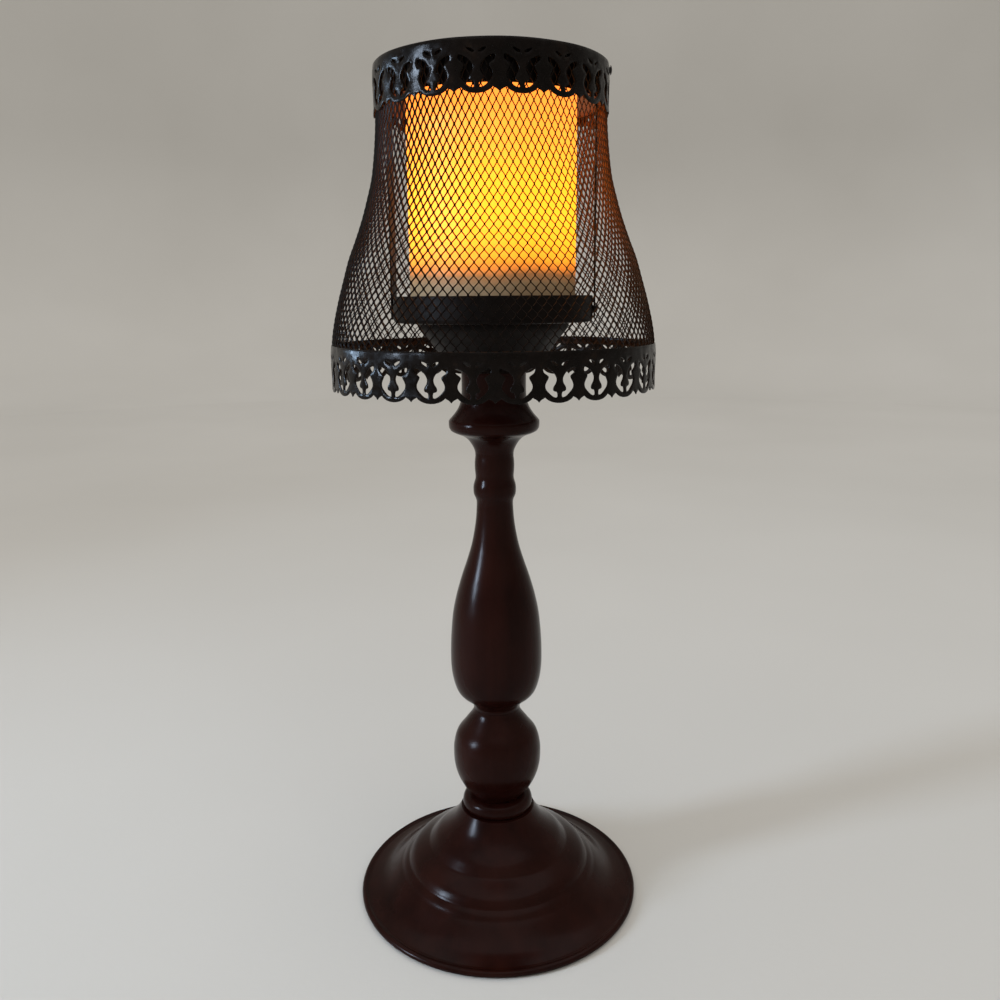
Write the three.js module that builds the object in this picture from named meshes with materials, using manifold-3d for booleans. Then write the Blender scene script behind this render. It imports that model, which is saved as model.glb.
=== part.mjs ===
// A candle lamp. A spun foot and a turned column on a threaded rod carry a pan, and a battery candle stands
// in the pan. Two straps rise from the pan's rim to a ring that holds a bell-shaped shade of expanded mesh
// between two pierced bands. Millimetres, +Z up. The origin is under the centre of the foot, on the surface
// that the lamp stands on.
import * as THREE from "three";
import { mergeVertices } from "three/addons/utils/BufferGeometryUtils.js";
import Module from "manifold-3d";

const wasm = await Module();
wasm.setup();

// Clearances and cuts
const gap = 0.3; // between two pieces that rest on each other
const overrun = 2; // how far a cutter passes the face that it cuts

// Facets round each kind of turned piece
const footSides = 24;
const columnSides = 16;
const panSides = 24;
const candleSides = 20;
const fittingSides = 10;
const rivetSides = 8;
const nutSides = 6;

// Foot
const footRadius = 72;
const footHeight = 46;
const footWall = 1.2;
const rimBeadRadius = 1.6;
const feltWall = 0.9;
const plateWall = 0.8;
const plateSetback = 6.4; // from the foot's edge to the edge of the cover plate and felt
const weightHeight = 10;
const weightBoreRadius = 13;

// Column, from the foot up to the bowl under the pan
const collarRadius = 18;
const collarHeight = 7.4;
const ballRadius = 22.3;
const ballHeight = 47.4;
const vaseRadius = 22.8;
const vaseHeight = 105;
const neckRadius = 10.3;
const neckHeight = 25.4;
const capitalRadius = 21.4;
const capitalHeight = 38.3;
const bowlRadius = 35.3;
const bowlHeight = 22.2;

// Threaded rod through the foot and column, with a nut and a washer at each end
const rodRadius = 3;
const nutAcross = 10;
const nutHeight = 3.2;
const washerRadius = 6.5;
const washerWall = 1;

// Pan
const panHeight = 12;
const panWall = 1.2;
const panCorner = 1.4;
const wellRadius = 10.3;
const wellDepth = 6;

// Candle
const candleRadius = 38.1;
const candleHeight = 94;
const candlePlay = 6.4; // from the candle to the pan's wall
const waxWall = 5.5;
const waxTopWall = 6;
const meltDepth = 8;
const housingWall = 2;
const housingRecess = 1;
const cellRadius = 7.1;
const cellLength = 50;
const cellTipRadius = 2.6;
const cellTipHeight = 1.1;
const cellPlay = 1.2; // room round the pair of cells in their tube
const contactWall = 0.5;
const boardWall = 1.6;
const diodeRadius = 2.5;
const diodeHeight = 8.6;
const diodeFlange = 0.5;

// Battery door, a quarter-turn disc under the candle, and the slide switch beside it
const doorWall = 1.6;
const doorBossHeight = 3;
const lugReach = 1.4;
const lugHeight = 1.2;
const lugWidth = 5;
const coinSlotLength = 16;
const coinSlotWidth = 2.2;
const coinSlotDepth = 0.9;
const switchTravel = 4;
const knobWidth = 4;
const knobDepth = 3.4;
const switchPlateWall = 1;
const switchBodyHeight = 5;
const switchBodyDepth = 6.6;

// Shade
const shadeHeight = 138;
const shadeDrop = 31; // how far the shade hangs below the pan's floor
const bandHeight = 20.4;
const bandWall = 0.6;
const topBandPlay = 13.5; // from the candle, which is lifted out through the top band, to the band's outside
const bottomBandRadius = 74.9;
const topMotifs = 18;
const bottomMotifs = 27;
const meshWall = 0.8;
const meshColumns = 18;
const meshRows = 8;

// Straps, the ring at their top and the rivets
const ringHeight = 16;
const ringWall = 0.8;
const strapWidth = 11;
const strapWall = 1;
const rivetRadius = 1.3;
const rivetHeadRadius = 2;
const rivetHeadHeight = 0.8;

// Heights of the stacked pieces, each a gap above the one that carries it
const plateBase = feltWall + gap;
const weightBase = plateBase + plateWall + gap;
const collarBase = footHeight + gap;
const ballBase = collarBase + collarHeight + gap;
const vaseBase = ballBase + ballHeight + gap;
const neckBase = vaseBase + vaseHeight + gap;
const capitalBase = neckBase + neckHeight + gap;
const bowlBase = capitalBase + capitalHeight + gap;
const panBase = bowlBase + bowlHeight + gap;
const panFloor = panBase + panWall;
const panTop = panBase + panHeight;
const wellFloor = panFloor - wellDepth;
const candleBase = panFloor + gap;
const candleTop = candleBase + candleHeight;
const shadeBase = panFloor - shadeDrop;
const shadeTop = shadeBase + shadeHeight;
const bottomBandTop = shadeBase + bandHeight;
const topBandBase = shadeTop - bandHeight;
const boreRadius = rodRadius + gap;
const plateRadius = footRadius - plateSetback;
const panRadius = candleRadius + candlePlay + panWall;
const topBandRadius = candleRadius + topBandPlay;

// Materials
function finish(color, roughness, metalness) {
  return new THREE.MeshStandardMaterial({ color, roughness, metalness });
}

const lacquer = () => finish(0x2e1712, 0.3, 0.2);
const darkMetal = () => finish(0x17130f, 0.5, 0.8);
const steel = () => finish(0x8c8c88, 0.4, 0.9);
const iron = () => finish(0x3b3b3d, 0.7, 0.6);
const felt = () => finish(0x23231f, 1, 0);
const plastic = (color) => finish(color, 0.5, 0);
const wax = () => {
  const made = finish(0xe9c98f, 0.55, 0);
  made.emissive = new THREE.Color(0xff9a1e);
  made.emissiveIntensity = 0.9;
  return made;
};

const lamp = new THREE.Group();

// Adds one named piece to the lamp
function piece(name, geometry, material, parent = lamp) {
  const mesh = new THREE.Mesh(geometry, material);
  mesh.name = name;
  parent.add(mesh);
  return mesh;
}

const asVectors = (points) => points.map(([x, y]) => new THREE.Vector2(x, y));

// A solid of revolution about Z from [radius, height] points that go up the outside and down the inside
function turned(outline, sides) {
  const points = asVectors(outline);
  if (points[0].x > 0 || points.at(-1).x > 0) points.push(points[0].clone());
  const geometry = new THREE.LatheGeometry(points, sides);
  geometry.rotateX(Math.PI / 2);
  return geometry;
}

// Smooth [radius, height] points through shares of a radius and a height, starting at a base height
function swept(shares, radius, height, base, steps) {
  const spline = new THREE.SplineCurve(asVectors(shares.map(([r, z]) => [r * radius, base + z * height])));
  return spline.getSpacedPoints(steps).map((point) => [point.x, point.y]);
}

// The same outline moved by a wall to its left, which for an outline that goes up is towards the axis
function inset(outline, wall) {
  return outline.map(([radius, height], i) => {
    const [r0, z0] = outline[Math.max(i - 1, 0)];
    const [r1, z1] = outline[Math.min(i + 1, outline.length - 1)];
    const length = Math.hypot(r1 - r0, z1 - z0);
    return [radius - (wall * (z1 - z0)) / length, height + (wall * (r1 - r0)) / length];
  });
}

// A ring of rectangular section
function ring(inner, outer, base, height, sides) {
  const top = base + height;
  return turned([[inner, base], [outer, base], [outer, top], [inner, top]], sides);
}

// A box given by its centre and size
function block([x, y, z], [width, depth, height]) {
  return new THREE.BoxGeometry(width, depth, height).translate(x, y, z);
}

// A round bar along X between two places
function barAlongX(radius, from, to, z) {
  const bar = new THREE.CylinderGeometry(radius, radius, to - from, rivetSides);
  return bar.rotateZ(Math.PI / 2).translate((from + to) / 2, 0, z);
}

// Cutters for a rivet through a wall on both sides of the lamp, each side between two distances from the axis
function holesAlongX(inner, outer, z) {
  const near = inner - overrun;
  const far = outer + overrun;
  return [barAlongX(rivetRadius + gap, near, far, z), barAlongX(rivetRadius + gap, -far, -near, z)];
}

// Turns a geometry into a solid for cuts and joins
function solidOf(geometry) {
  const bare = geometry.clone();
  bare.deleteAttribute("normal");
  bare.deleteAttribute("uv");
  const merged = mergeVertices(bare);
  const vertProperties = new Float32Array(merged.attributes.position.array);
  const triVerts = new Uint32Array(merged.index.array);
  return new wasm.Manifold(new wasm.Mesh({ numProp: 3, vertProperties, triVerts }));
}

// Turns a solid back into a geometry
function geometryOf(solid) {
  const mesh = solid.getMesh();
  const geometry = new THREE.BufferGeometry();
  const places = new Float32Array((mesh.vertProperties.length / mesh.numProp) * 3);
  for (let i = 0; i < places.length / 3; i++) {
    places.set(mesh.vertProperties.subarray(i * mesh.numProp, i * mesh.numProp + 3), i * 3);
  }
  geometry.setAttribute("position", new THREE.BufferAttribute(places, 3));
  geometry.setIndex(new THREE.BufferAttribute(new Uint32Array(mesh.triVerts), 1));
  geometry.computeVertexNormals();
  return geometry;
}

// The first geometry with the others cut out of it
function cut(body, ...cutters) {
  return geometryOf(cutters.reduce((solid, cutter) => solid.subtract(solidOf(cutter)), solidOf(body)));
}

// The geometries joined to one body
function joined(...bodies) {
  return geometryOf(bodies.slice(1).reduce((solid, body) => solid.add(solidOf(body)), solidOf(bodies[0])));
}

// Foot: a spun dome with a rolled rim bead, a narrow brim, a rounded flank and two steps below the column
const brimShares = [[0.967, 0.072], [0.917, 0.085], [0.812, 0.139]];
const flankShares = [[0.789, 0.207], [0.75, 0.283], [0.694, 0.357], [0.606, 0.417]];
const stepShares = [[0.592, 0.448], [0.561, 0.509], [0.494, 0.57]];
const crownShares = [[0.481, 0.6], [0.436, 0.678], [0.375, 0.757], [0.325, 0.835], [0.292, 0.913],
  [0.258, 1]];
const footOutline = [...brimShares, ...flankShares, ...stepShares, ...crownShares].map(([r, z]) => [
  r * footRadius,
  z * footHeight,
]);
const rimBeadSteps = 4;
const rimBeadSweepShare = 0.7; // of a full turn, from the bead's inner side round to the brim

// True at an end of an outline, and where an outline that goes up turns outwards, as in a cove or a groove
function isHollow(outline, i) {
  if (i === 0 || i === outline.length - 1) return true;
  const [[r0, z0], [r1, z1], [r2, z2]] = outline.slice(i - 1, i + 2);
  return (r1 - r0) * (z2 - z1) < (z1 - z0) * (r2 - r1);
}

// Lining from the brim up to the crown, through the outline's hollows
const crownUnder = footHeight - footWall;
const footLining = inset(footOutline, footWall)
  .filter(([, z], i) => isHollow(footOutline, i) && z < crownUnder - footWall);

function footShell() {
  const beadCentre = footRadius - rimBeadRadius;
  const beadBase = gap + rimBeadRadius;
  const bead = Array.from({ length: rimBeadSteps + 1 }, (_, i) => {
    const angle = -Math.PI + (i / rimBeadSteps) * rimBeadSweepShare * 2 * Math.PI;
    return [beadCentre + rimBeadRadius * Math.cos(angle), beadBase + rimBeadRadius * Math.sin(angle)];
  });
  const innerCorner = [footOutline.at(-1)[0] - footWall, crownUnder];
  const top = [[boreRadius, footHeight], [boreRadius, crownUnder], innerCorner];
  return turned([...bead, ...footOutline, ...top, ...footLining.toReversed()], footSides);
}

// Iron slug that fills the dome's lower part inside the flank, recessed below for the nut
function footWeight() {
  const room = inset(footOutline, footWall + gap);
  const [low, lowHeight] = room[brimShares.length - 1];
  const [high, highHeight] = room[brimShares.length + flankShares.length];
  const recess = weightBase + nutHeight + washerWall + 2 * gap;
  const top = weightBase + weightHeight;
  const topRadius = low + ((high - low) * (top - lowHeight)) / (highHeight - lowHeight);
  return turned([[weightBoreRadius, weightBase], [low, weightBase], [low, lowHeight], [topRadius, top],
    [boreRadius, top], [boreRadius, recess], [weightBoreRadius, recess]], footSides);
}

// Column pieces: the outline up the outside, closed down the rod's bore
function columnPiece(shares, radius, height, base, steps) {
  const outline = swept(shares, radius, height, base, steps);
  return turned([[boreRadius, base], ...outline, [boreRadius, base + height]], columnSides);
}

const collarSteps = 5;
const ballSteps = 9;
const vaseSteps = 13;
const neckSteps = 9;
const collarShares = [[0.95, 0], [1, 0.28], [0.98, 0.64], [0.88, 0.88], [0.76, 1]];
const ballShares = [[0.61, 0], [0.8, 0.12], [0.95, 0.29], [1, 0.47], [0.95, 0.67], [0.77, 0.81], [0.58, 0.91],
  [0.52, 1]];
const vaseShares = [[0.51, 0], [0.58, 0.035], [0.8, 0.075], [0.93, 0.12], [1, 0.23], [0.98, 0.4],
  [0.87, 0.56], [0.64, 0.71], [0.46, 0.85], [0.39, 0.94], [0.385, 1]];
const neckShares = [[0.85, 0], [0.87, 0.12], [1, 0.31], [0.95, 0.46], [0.88, 0.58], [0.92, 0.75], [0.89, 1]];
const capitalCoveShares = [[0.47, 0], [0.55, 0.1], [0.68, 0.2], [0.86, 0.25], [0.98, 0.3]];
const capitalTopShares = [[1, 0.34], [1, 0.4], [0.96, 0.455], [0.87, 0.5], [0.78, 0.57], [0.71, 0.68],
  [0.71, 1]];
const bowlShares = [[0.43, 0], [0.54, 0.07], [0.67, 0.27], [0.78, 0.5], [0.9, 0.74], [1, 0.94], [1, 1]];

function capital() {
  const outline = [...capitalCoveShares, ...capitalTopShares].map(([r, z]) => [
    r * capitalRadius,
    capitalBase + z * capitalHeight,
  ]);
  const top = capitalBase + capitalHeight;
  return turned([[boreRadius, capitalBase], ...outline, [boreRadius, top]], columnSides);
}

// Bowl under the pan, with a pocket for the pan's well
function bowl() {
  const top = bowlBase + bowlHeight;
  const pocketRadius = wellRadius + panWall + gap;
  const pocketFloor = wellFloor - panWall - gap;
  const outline = bowlShares.map(([r, z]) => [r * bowlRadius, bowlBase + z * bowlHeight]);
  return turned([[boreRadius, bowlBase], ...outline, [pocketRadius, top], [pocketRadius, pocketFloor],
    [boreRadius, pocketFloor]], columnSides);
}

// Pan: a flat floor with a sunk well for the nut, an upright wall and a rounded lip, holed for two rivets
function pan() {
  const inner = panRadius - panWall;
  const lip = panWall / 2;
  const wellOuter = wellRadius + panWall;
  const wellUnder = wellFloor - panWall;
  const body = turned([[boreRadius, wellUnder], [wellOuter, wellUnder], [wellOuter, panBase],
    [panRadius - panCorner, panBase], [panRadius, panBase + panCorner], [panRadius, panTop - lip],
    [panRadius - lip / 2, panTop], [inner + lip / 2, panTop], [inner, panTop - lip],
    [inner, panFloor + panCorner], [inner - panCorner, panFloor], [wellRadius, panFloor],
    [wellRadius, wellFloor], [boreRadius, wellFloor]], panSides);
  return cut(body, ...holesAlongX(inner, panRadius, panRivetHeight));
}

// Threaded rod with its nuts and washers
const rodBase = weightBase + gap;
const topWasherBase = wellFloor + gap;
const topNutBase = topWasherBase + washerWall + gap;
const rodTop = panFloor - gap;

function rod() {
  return new THREE.CylinderGeometry(rodRadius, rodRadius, rodTop - rodBase, fittingSides)
    .rotateX(Math.PI / 2)
    .translate(0, 0, (rodTop + rodBase) / 2);
}

function washer(base) {
  return ring(boreRadius, washerRadius, base, washerWall, fittingSides);
}

function nut(base) {
  const corner = nutAcross / Math.sqrt(3);
  const outside = new THREE.CylinderGeometry(corner, corner, nutHeight, nutSides);
  const bore = new THREE.CylinderGeometry(boreRadius, boreRadius, nutHeight + overrun, fittingSides);
  return cut(outside, bore).rotateX(Math.PI / 2).translate(0, 0, base + nutHeight / 2);
}

// Wax shell: a soft-edged cylinder with a melted hollow in its top, open below for the candle's works
const meltShares = [[0.8, 0], [0.62, 0.72], [0.36, 0.95], [0, 1]];
const waxEdgeShares = [[1, 0.3], [0.985, 0.08], [0.955, 0], [0.88, 0]];
const waxEdgeDrop = 4;

function waxShell() {
  const roof = candleTop - meltDepth - waxTopWall;
  const inner = candleRadius - waxWall;
  const shoulder = roof - waxWall;
  const edge = waxEdgeShares.map(([r, z]) => [r * candleRadius, candleTop - z * waxEdgeDrop]);
  const melt = meltShares.map(([r, z]) => [r * candleRadius, candleTop - z * meltDepth]);
  return turned([[inner, candleBase], [candleRadius, candleBase], ...edge, ...melt, [0, roof],
    [inner - waxWall, roof], [inner, shoulder]], candleSides);
}

// Candle works: a flange in the wax with a battery tube on it, closed at the top
const tubeInner = cellRadius * 2 + cellPlay;
const tubeOuter = tubeInner + housingWall;
const flangeRadius = candleRadius - waxWall - gap;
const flangeBase = candleBase + housingRecess;
const flangeWall = doorWall + switchPlateWall + gap;
const flangeTop = flangeBase + flangeWall;
const doorRadius = tubeInner + lugReach;
const doorTop = flangeBase + doorWall;
const bossRadius = tubeInner - gap;
const bossTop = doorTop + doorBossHeight;
const cellBase = bossTop + contactWall + 2 * gap;
const cellTop = cellBase + cellLength;
const tubeCeiling = cellTop + cellTipHeight + contactWall + 2 * gap;
const tubeTop = tubeCeiling + housingWall;
const grooveBase = doorTop + gap + lugHeight / 2;
const grooveTop = grooveBase + lugHeight + 2 * gap;
const grooveRadius = doorRadius + gap;
const switchPlace = (grooveRadius + housingWall + flangeRadius) / 2;
const slotLength = knobWidth + switchTravel + 2 * gap;

function housing() {
  const seat = doorRadius + gap;
  const outerFoot = grooveRadius + housingWall;
  const body = turned([[seat, flangeBase], [flangeRadius, flangeBase], [flangeRadius, flangeTop],
    [outerFoot, flangeTop], [outerFoot, grooveTop + gap], [tubeOuter, grooveTop + housingWall],
    [tubeOuter, tubeTop], [0, tubeTop], [0, tubeCeiling], [tubeInner, tubeCeiling],
    [tubeInner, grooveTop], [grooveRadius, grooveTop],
    [grooveRadius, grooveBase], [tubeInner, grooveBase], [tubeInner, doorTop + gap], [seat, doorTop + gap]],
  candleSides);
  const wide = 2 * grooveRadius;
  const notchHeight = grooveTop - doorTop;
  const notch = block([0, 0, doorTop + notchHeight / 2], [wide, lugWidth + 2 * gap, notchHeight - gap]);
  const slotSize = [slotLength, knobDepth + 2 * gap, 2 * flangeWall + overrun];
  const slot = block([0, -switchPlace, flangeBase], slotSize);
  return cut(body, notch.rotateZ(Math.PI / 2), slot);
}

function cell() {
  const tipTop = cellTop + cellTipHeight;
  return turned([[0, cellBase], [cellRadius, cellBase], [cellRadius, cellTop], [cellTipRadius, cellTop],
    [cellTipRadius, tipTop], [0, tipTop]], fittingSides);
}

// Battery door: a disc with a coin slot, a boss in the battery tube and two lugs that turn in its groove
function batteryDoor() {
  const lugBase = grooveBase + gap;
  const disc = turned([[0, flangeBase], [doorRadius, flangeBase], [doorRadius, doorTop],
    [bossRadius, doorTop], [bossRadius, bossTop], [0, bossTop]], candleSides);
  const lug = block([0, 0, lugBase + lugHeight / 2], [2 * (bossRadius + lugReach), lugWidth, lugHeight]);
  const slot = block([0, 0, flangeBase], [coinSlotLength, coinSlotWidth, 2 * coinSlotDepth]);
  return cut(joined(disc, lug), slot);
}

// Contact strips: one under both cells, carried by the door, and one over each cell
function lowerContact() {
  const base = bossTop + gap;
  return turned([[0, base], [cellRadius * 2 - gap, base], [cellRadius * 2 - gap, base + contactWall],
    [0, base + contactWall]], fittingSides);
}

function upperContact() {
  const base = cellTop + cellTipHeight + gap;
  return turned([[0, base], [cellRadius - gap, base], [cellRadius - gap, base + contactWall],
    [0, base + contactWall]], fittingSides);
}

// Slide switch: a knob through the flange with a wider plate above it, under the switch's body
function switchSlider() {
  const plateBaseHeight = flangeTop + gap;
  const knobTop = plateBaseHeight + switchPlateWall / 2;
  const knobSize = [knobWidth, knobDepth, knobTop - flangeBase];
  const plateSize = [slotLength + switchTravel, knobDepth + gap, switchPlateWall];
  const knob = block([0, -switchPlace, (flangeBase + knobTop) / 2], knobSize);
  const plate = block([0, -switchPlace, knobTop], plateSize);
  return joined(knob, plate).translate(switchTravel / 2, 0, 0);
}

function switchBody() {
  const base = flangeTop + switchPlateWall + 2 * gap;
  const size = [slotLength + switchTravel, switchBodyDepth, switchBodyHeight];
  return block([0, -switchPlace, base + switchBodyHeight / 2], size);
}

// Light diode on the circuit board, a dome on a short flanged body
function diode() {
  const base = tubeTop + gap + boardWall + gap;
  const dome = base + diodeHeight - diodeRadius;
  const top = base + diodeHeight;
  const flange = diodeRadius + diodeFlange;
  const flangeRoof = base + 2 * diodeFlange;
  return turned([[0, base], [flange, base], [flange, flangeRoof], [diodeRadius, flangeRoof],
    [diodeRadius, dome], [diodeRadius * Math.SQRT1_2, top - gap], [0, top]], fittingSides);
}

// One motif of the pierced strip, as shares of the motif's width and of the strip's height, from its lower
// edge up. The scalloped edge goes from cusp to cusp, and the holes are two wedges above two hooked slots.
const scallopShares = [[-0.5, 0.05], [-0.33, 0.12], [-0.17, 0], [0.17, 0], [0.33, 0.12], [0.5, 0.05]];
const wedgeHoleShares = [[0.05, 0.67], [0.28, 0.79], [0.07, 0.79]];
const hookedHoleShares = [[0.38, 0.67], [0.23, 0.49], [0.37, 0.34], [0.26, 0.16], [0.08, 0.2], [0.21, 0.31],
  [0.1, 0.48]];

function bandTile() {
  const contour = [...scallopShares, [0.5, 1], [0, 1], [-0.5, 1]];
  const right = [wedgeHoleShares, hookedHoleShares];
  const left = right.map((hole) => hole.map(([u, v]) => [-u, v]));
  const clockwise = (hole) => THREE.ShapeUtils.isClockWise(asVectors(hole));
  const holes = [...right, ...left].map((hole) => (clockwise(hole) ? hole : hole.toReversed()));
  return { contour, holes };
}

// A pierced strip bent to a ring: the tile's face is repeated on both sides, with walls at the edges
function piercedBand(radius, base, motifs) {
  const { contour, holes } = bandTile();
  const faces = THREE.ShapeUtils.triangulateShape(asVectors(contour), holes.map(asVectors));
  const shares = [contour, ...holes].flat();
  const positions = [];
  const index = [];
  const place = ([u, v], wall, k) => {
    const angle = (((u + k) % motifs) / motifs) * 2 * Math.PI - Math.PI / 2;
    return [(radius - wall) * Math.cos(angle), (radius - wall) * Math.sin(angle), base + v * bandHeight];
  };
  for (let k = 0; k < motifs; k++) {
    const first = positions.length / 3;
    const inner = first + shares.length;
    for (const wall of [0, bandWall]) for (const share of shares) positions.push(...place(share, wall, k));
    for (const [a, b, c] of faces) {
      index.push(first + a, first + b, first + c, inner + c, inner + b, inner + a);
    }
    const wallBetween = (a, b) => {
      index.push(first + a, inner + a, first + b, first + b, inner + a, inner + b);
    };
    const lower = scallopShares.length - 1;
    for (let i = 0; i < contour.length - 1; i++) if (i !== lower) wallBetween(i, i + 1);
    let start = contour.length;
    for (const hole of holes) {
      hole.forEach((_, i) => wallBetween(start + i, start + ((i + 1) % hole.length)));
      start += hole.length;
    }
  }
  const geometry = new THREE.BufferGeometry();
  geometry.setAttribute("position", new THREE.Float32BufferAttribute(positions, 3));
  geometry.setIndex(index);
  return mergeVertices(geometry);
}

// Bell profile of the mesh, from its lower hem behind the bottom band to its upper hem behind the top band
const hemHeight = 4.2;
const foldReach = 3; // how far each hem runs out past its band's edge before the bell starts
const bellShares = [[0.941, 0.106], [0.844, 0.199], [0.735, 0.29], [0.621, 0.382], [0.473, 0.469],
  [0.332, 0.562], [0.221, 0.65], [0.127, 0.737], [0.067, 0.829], [0.025, 0.91]];
const facetShare = 0.6; // widest facet of a pierced band, as a share of its motif

function hemRadius(bandRadius, motifs) {
  return (bandRadius - bandWall) * Math.cos((facetShare * Math.PI) / motifs) - gap;
}

const lowerHemRadius = hemRadius(bottomBandRadius, bottomMotifs);
const upperHemRadius = hemRadius(topBandRadius, topMotifs);

function bellCurve() {
  const rise = topBandBase - bottomBandTop;
  const flare = lowerHemRadius - upperHemRadius;
  const lowerEdge = new THREE.Vector2(lowerHemRadius, bottomBandTop - hemHeight);
  const lowerFold = new THREE.Vector2(lowerHemRadius, bottomBandTop + foldReach / 2);
  const upperFold = new THREE.Vector2(upperHemRadius, topBandBase - foldReach);
  const upperEdge = new THREE.Vector2(upperHemRadius, shadeTop - gap);
  const place = ([r, z]) => new THREE.Vector2(upperHemRadius + r * flare, bottomBandTop + z * rise);
  const shown = bellShares.map(place);
  const path = new THREE.CurvePath();
  path.add(new THREE.LineCurve(lowerEdge, lowerFold));
  path.add(new THREE.SplineCurve([lowerFold, ...shown, upperFold]));
  path.add(new THREE.LineCurve(upperFold, upperEdge));
  return path;
}

// Expanded mesh: staggered rows of diamond gaps between slanted strands, with a plain hem at each end.
// A gap's corners are places on the profile, so two triangles fill each crossing and each strand.
const strandShare = 0.17;
const endShare = 0.08; // outer half of the gaps in the first and last row, which the hems cut short

function meshSkin() {
  const curve = bellCurve();
  const hemShare = (hemHeight + foldReach / 2) / curve.getLength();
  const pitch = (1 - 2 * hemShare) / (meshRows - 1);
  const reach = 1 - strandShare;
  const positions = [];
  const index = [];
  const numbers = new Map();
  const vertex = (column, along) => {
    const turn = (((column / meshColumns) % 1) + 1) % 1;
    const key = `${turn.toFixed(6)} ${along.toFixed(6)}`;
    if (!numbers.has(key)) {
      const { x: radius, y: height } = curve.getPointAt(along);
      const angle = turn * 2 * Math.PI - Math.PI / 2;
      numbers.set(key, positions.length / 3);
      for (const r of [radius, radius - meshWall]) {
        positions.push(r * Math.cos(angle), r * Math.sin(angle), height);
      }
    }
    return numbers.get(key);
  };
  const rowAt = (row) => hemShare + row * pitch;
  const rise = (row) => (row === meshRows - 1 ? endShare : reach) * pitch;
  const fall = (row) => (row === 0 ? endShare : reach) * pitch;
  const edgeOf = (row) => (row < 0 ? 0 : 1);
  const beyond = (row) => row < 0 || row >= meshRows;
  const bottom = (c, row) => vertex(c, beyond(row) ? edgeOf(row) : rowAt(row) - fall(row));
  const top = (c, row) => vertex(c, beyond(row) ? edgeOf(row) : rowAt(row) + rise(row));
  const left = (c, row) => (beyond(row) ? vertex(c - 0.5, edgeOf(row)) : vertex(c - reach / 2, rowAt(row)));
  const right = (c, row) => (beyond(row) ? vertex(c + 0.5, edgeOf(row)) : vertex(c + reach / 2, rowAt(row)));
  // Both faces of a four-cornered patch; an inner vertex follows its outer twin
  const patch = (a, b, c, d) => {
    index.push(a, b, c, a, c, d, c + 1, b + 1, a + 1, d + 1, c + 1, a + 1);
  };
  const wallBetween = (a, b) => index.push(a, a + 1, b, b, a + 1, b + 1);
  for (let row = -1; row < meshRows; row++) {
    for (let j = 0; j < meshColumns; j++) {
      const over = j + Math.abs((row + 1) % 2) / 2;
      const own = j + Math.abs(row % 2) / 2;
      patch(bottom(over, row + 1), left(over + 0.5, row), top(over + 0.5, row), right(over, row + 1));
      patch(bottom(over, row + 1), left(over, row + 1), top(over - 0.5, row), right(over - 0.5, row));
      if (row < 0) continue;
      patch(right(own, row), top(own + 0.5, row - 1), left(own + 1, row), bottom(own + 0.5, row + 1));
      const loop = [bottom(own, row), left(own, row), top(own, row), right(own, row)];
      loop.forEach((corner, i) => wallBetween(corner, loop[(i + 1) % loop.length]));
    }
  }
  for (let half = 0; half < 2 * meshColumns; half++) {
    wallBetween(vertex(half / 2, 0), vertex((half + 1) / 2, 0));
    wallBetween(vertex((half + 1) / 2, 1), vertex(half / 2, 1));
  }
  const geometry = new THREE.BufferGeometry();
  geometry.setAttribute("position", new THREE.Float32BufferAttribute(positions, 3));
  geometry.setIndex(index);
  return geometry;
}

// Ring inside the mesh's upper hem, and the straps: flat strips that stand outside the pan's wall, lead to
// the ring's inside and run upright along it, each riveted at both ends
const panRivetHeight = panBase + panHeight / 2;
const shadeRivetHeight = shadeTop - hemHeight / 2;
const ringRadius = (upperHemRadius - meshWall) * Math.cos(Math.PI / meshColumns) - gap;
const ringInner = ringRadius - ringWall;
const ringBase = shadeTop - gap - ringHeight;
const strapFootInner = panRadius + gap;
const strapFootOuter = strapFootInner + strapWall;
const strapReach = ringInner * Math.cos(Math.PI / panSides) - gap;
const strapTopOuter = Math.sqrt(strapReach ** 2 - (strapWidth / 2) ** 2);
const strapTopInner = strapTopOuter - strapWall;

function supportRing() {
  return cut(ring(ringInner, ringRadius, ringBase, ringHeight, panSides),
    ...holesAlongX(ringInner, ringRadius, shadeRivetHeight));
}

function strap() {
  const top = shadeTop - gap;
  const foot = panBase + panCorner;
  const shape = new THREE.Shape(asVectors([[strapFootInner, foot], [strapFootOuter, foot],
    [strapFootOuter, panTop], [strapTopOuter, ringBase], [strapTopOuter, top], [strapTopInner, top],
    [strapTopInner, ringBase], [strapFootInner, panTop]]));
  const strip = new THREE.ExtrudeGeometry(shape, { depth: strapWidth, bevelEnabled: false });
  strip.rotateX(Math.PI / 2).translate(0, strapWidth / 2, 0);
  return cut(strip, ...holesAlongX(strapFootInner, strapFootOuter, panRivetHeight),
    ...holesAlongX(strapTopInner, strapTopOuter, shadeRivetHeight));
}

// A rivet along X through layers that span two places, with a rounded head a gap beyond each
function rivet(from, to, z) {
  const start = from - gap - rivetHeadHeight;
  const end = to + gap + rivetHeadHeight;
  const round = rivetHeadRadius * Math.SQRT1_2;
  const outline = [[0, start], [round, start], [rivetHeadRadius, from - gap], [rivetRadius, from - gap],
    [rivetRadius, to + gap], [rivetHeadRadius, to + gap], [round, end], [0, end]];
  return new THREE.LatheGeometry(asVectors(outline), rivetSides).rotateZ(-Math.PI / 2).translate(0, 0, z);
}

function topBand() {
  return cut(piercedBand(topBandRadius, topBandBase, topMotifs),
    ...holesAlongX(topBandRadius - bandWall, topBandRadius, shadeRivetHeight));
}

function meshShade() {
  return cut(meshSkin(), ...holesAlongX(upperHemRadius - meshWall, upperHemRadius, shadeRivetHeight));
}

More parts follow.
